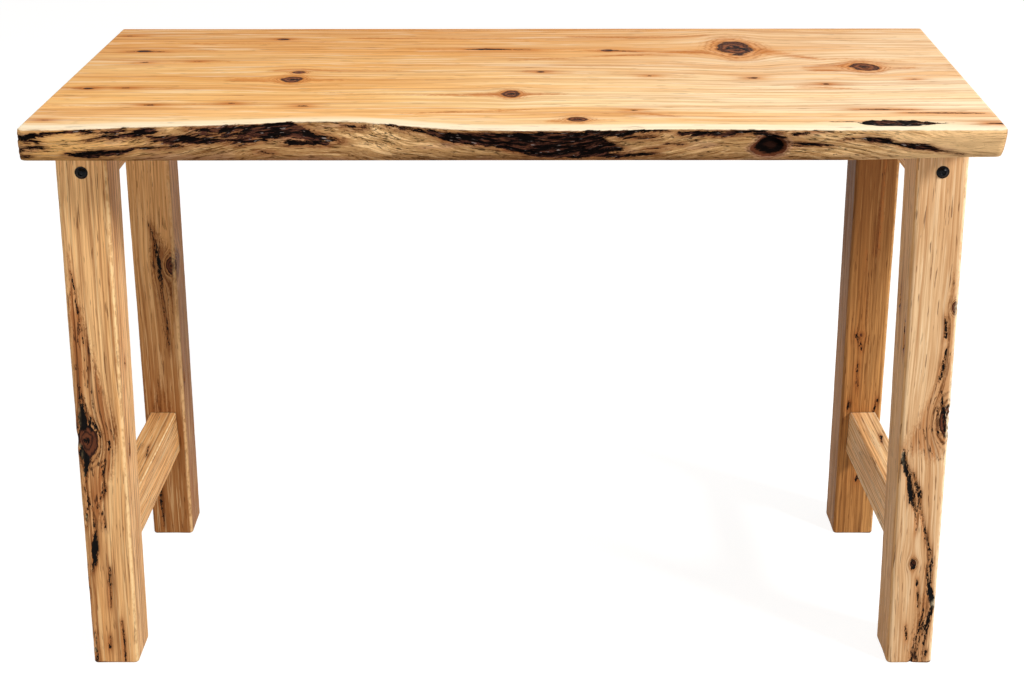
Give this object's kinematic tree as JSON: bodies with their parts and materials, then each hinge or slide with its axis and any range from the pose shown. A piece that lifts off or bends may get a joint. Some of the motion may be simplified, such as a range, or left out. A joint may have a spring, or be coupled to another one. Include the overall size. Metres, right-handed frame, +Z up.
{
  "type": "sofa table",
  "caption": "Narrow sofa table: a thick wooden slab with a natural front edge on two end frames of leaning square legs, top rails and low stretchers.",
  "frame": {"origin": "middle of the whole table's box, on the floor", "axes": "+X along the table to the right, the natural edge faces -Y, +Z up"},
  "size_m": [1.126, 0.48, 0.762],
  "materials": {
    "slab_wood": "clear satin lacquer",
    "frame_wood": "clear satin lacquer",
    "dowel_wood": "plain",
    "black_steel": "black, half gloss",
    "zinc_steel": "zinc plated"
  },
  "bodies": {
    "root": {"table_top": "slab_wood", "leg_front_left": "frame_wood", "leg_front_right": "frame_wood", "leg_rear_left": "frame_wood", "leg_rear_right": "frame_wood", "top_rail_left": "frame_wood", "top_rail_right": "frame_wood", "stretcher_left": "frame_wood", "stretcher_right": "frame_wood", "leg_bolt_front_left": "black_steel", "leg_bolt_front_right": "black_steel", "leg_bolt_rear_left": "black_steel", "leg_bolt_rear_right": "black_steel", "barrel_nut_front_left": "zinc_steel", "barrel_nut_front_right": "zinc_steel", "barrel_nut_rear_left": "zinc_steel", "barrel_nut_rear_right": "zinc_steel", "rail_dowel_front_left": "dowel_wood", "rail_dowel_front_right": "dowel_wood", "rail_dowel_rear_left": "dowel_wood", "rail_dowel_rear_right": "dowel_wood", "top_screws_left": "zinc_steel", "top_screws_right": "zinc_steel", "screw_washers_left": "zinc_steel", "screw_washers_right": "zinc_steel"}
  },
  "joints": []
}
